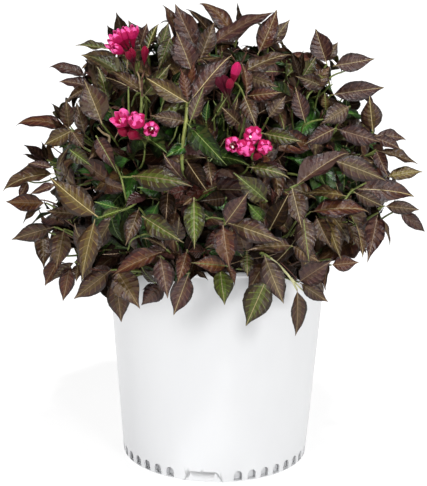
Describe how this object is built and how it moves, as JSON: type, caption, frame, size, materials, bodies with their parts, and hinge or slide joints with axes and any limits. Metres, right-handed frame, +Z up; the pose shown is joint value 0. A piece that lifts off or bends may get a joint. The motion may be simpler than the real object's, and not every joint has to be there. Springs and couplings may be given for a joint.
{
  "type": "potted weigela shrub",
  "caption": "Compact weigela shrub with dark purple-brown leaves and a few magenta tubular flowers, a dense dome growing out of a tapered white nursery pot.",
  "frame": {"origin": "centre of the pot's underside, on the surface that it stands on", "axes": "+Z up, the front towards -Y, +X to the right seen from the front"},
  "size_m": [0.484, 0.4726, 0.5255],
  "materials": {
    "pot_plastic": "satin white moulded plastic, bare of any print",
    "potting_mix": "moist bark-based potting mix, matt and crumbly",
    "bark": "thin tan-brown bark on the canes, pale green on the young shoots",
    "foliage": "satin purple-brown leaves with pale midribs, some olive or bronze",
    "blossom": "soft magenta petals with a paler mouth"
  },
  "bodies": {
    "root": {"pot": "pot_plastic", "potting_mix": "potting_mix", "stem_base": "bark", "cane_1": "bark", "cane_2": "bark", "cane_3": "bark", "cane_4": "bark", "cane_5": "bark", "cane_6": "bark", "cane_7": "bark", "cane_8": "bark", "cane_centre": "bark", "bough_skirt_1": "bark", "bough_skirt_2": "bark", "bough_skirt_3": "bark", "bough_skirt_4": "bark", "bough_skirt_5": "bark", "bough_skirt_6": "bark", "bough_skirt_7": "bark", "bough_skirt_8": "bark", "bough_skirt_9": "bark", "bough_skirt_10": "bark", "bough_upper_1": "bark", "bough_upper_2": "bark", "bough_upper_3": "bark", "bough_upper_4": "bark", "bough_upper_5": "bark", "foliage_skirt_1": "foliage", "foliage_skirt_2": "foliage", "foliage_skirt_3": "foliage", "foliage_skirt_4": "foliage", "foliage_skirt_5": "foliage", "foliage_skirt_6": "foliage", "foliage_skirt_7": "foliage", "foliage_skirt_8": "foliage", "foliage_skirt_9": "foliage", "foliage_skirt_10": "foliage", "foliage_shoulder_1": "foliage", "foliage_shoulder_2": "foliage", "foliage_shoulder_3": "foliage", "foliage_shoulder_4": "foliage", "foliage_shoulder_5": "foliage", "foliage_shoulder_6": "foliage", "foliage_shoulder_7": "foliage", "foliage_shoulder_8": "foliage", "foliage_upper_1": "foliage", "foliage_upper_2": "foliage", "foliage_upper_3": "foliage", "foliage_upper_4": "foliage", "foliage_upper_5": "foliage", "foliage_top": "foliage"}
  },
  "joints": []
}
